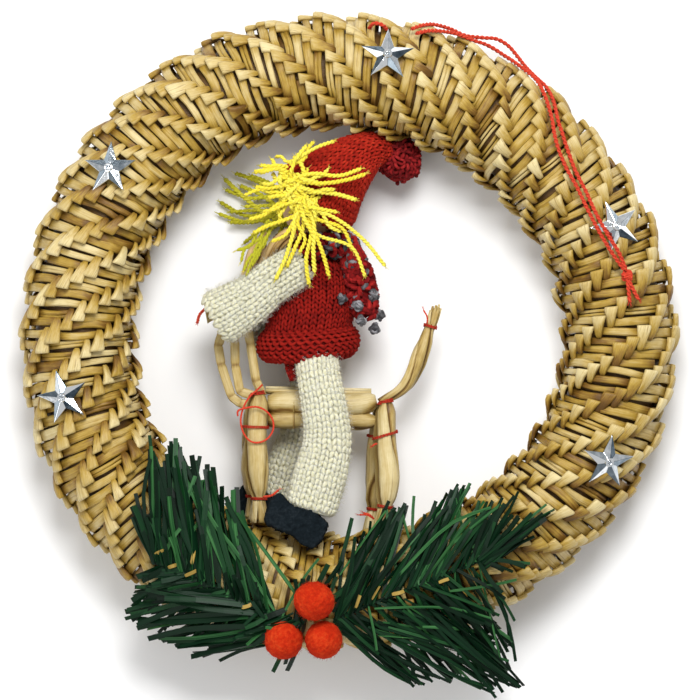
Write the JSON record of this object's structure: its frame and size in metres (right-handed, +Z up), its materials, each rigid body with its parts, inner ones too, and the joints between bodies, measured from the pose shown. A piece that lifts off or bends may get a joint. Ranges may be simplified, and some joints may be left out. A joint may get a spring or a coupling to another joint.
{
  "type": "straw ornament",
  "caption": "Wreath of spirally plaited straw framing a straw goat ridden by a knitted doll, with stars, felt berries, pine sprigs and a red hanging thread.",
  "frame": {"origin": "on the surface the ornament lies on, under the middle of its overall box", "axes": "the ornament lies on its back: +X to its right as it is looked at, +Y to its top, +Z up and out of its front"},
  "size_m": [0.1968, 0.2034, 0.0466],
  "materials": {
    "plait": "dry golden straw, satin",
    "straw": "dry golden straw, satin",
    "red_knit": "red ribbed and plain wool knit",
    "white_knit": "cream white wool knit",
    "yarn_hair": "loose yellow two-ply yarn",
    "scarf": "chunky wool, red and grey twisted together",
    "wood_bead": "plain sanded wooden bead",
    "boot_felt": "navy-black felted foam",
    "star": "mirrored silver plastic",
    "felt": "orange-red felted wool",
    "pine": "flat green artificial needles, slightly glossy",
    "thread": "red twisted cotton thread"
  },
  "bodies": {
    "root": {"berry_left": "felt", "berry_right": "felt", "berry_top": "felt", "doll_arm_far": "white_knit", "doll_arm_near": "white_knit", "doll_boot_far": "boot_felt", "doll_boot_near": "boot_felt", "doll_cap": "red_knit", "doll_cap_pompom": "red_knit", "doll_hair_back": "yarn_hair", "doll_hair_front": "yarn_hair", "doll_head": "wood_bead", "doll_leg_far": "white_knit", "doll_leg_near": "white_knit", "doll_scarf": "scarf", "doll_sweater": "red_knit", "goat_body": "straw", "goat_horn_far": "straw", "goat_horn_near": "straw", "goat_leg_front_far": "straw", "goat_leg_front_near": "straw", "goat_leg_hind_far": "straw", "goat_leg_hind_near": "straw", "goat_neck_and_head": "straw", "goat_tail": "straw", "hanger_bight": "thread", "hanger_knot": "thread", "hanger_strand_a": "thread", "hanger_strand_b": "thread", "pine_sprig_left": "pine", "pine_sprig_right": "pine", "rein_thread": "thread", "star_left": "star", "star_left_top": "star", "star_low": "star", "star_right": "star", "star_top": "star", "tie_front_far_lower": "thread", "tie_front_far_upper": "thread", "tie_front_near_lower": "thread", "tie_front_near_upper": "thread", "tie_hind_far_lower": "thread", "tie_hind_far_upper": "thread", "tie_hind_near_lower": "thread", "tie_hind_near_upper": "thread", "tie_horn": "thread", "tie_muzzle": "thread", "tie_tail": "thread", "wreath_ring": "plait"}
  },
  "joints": []
}
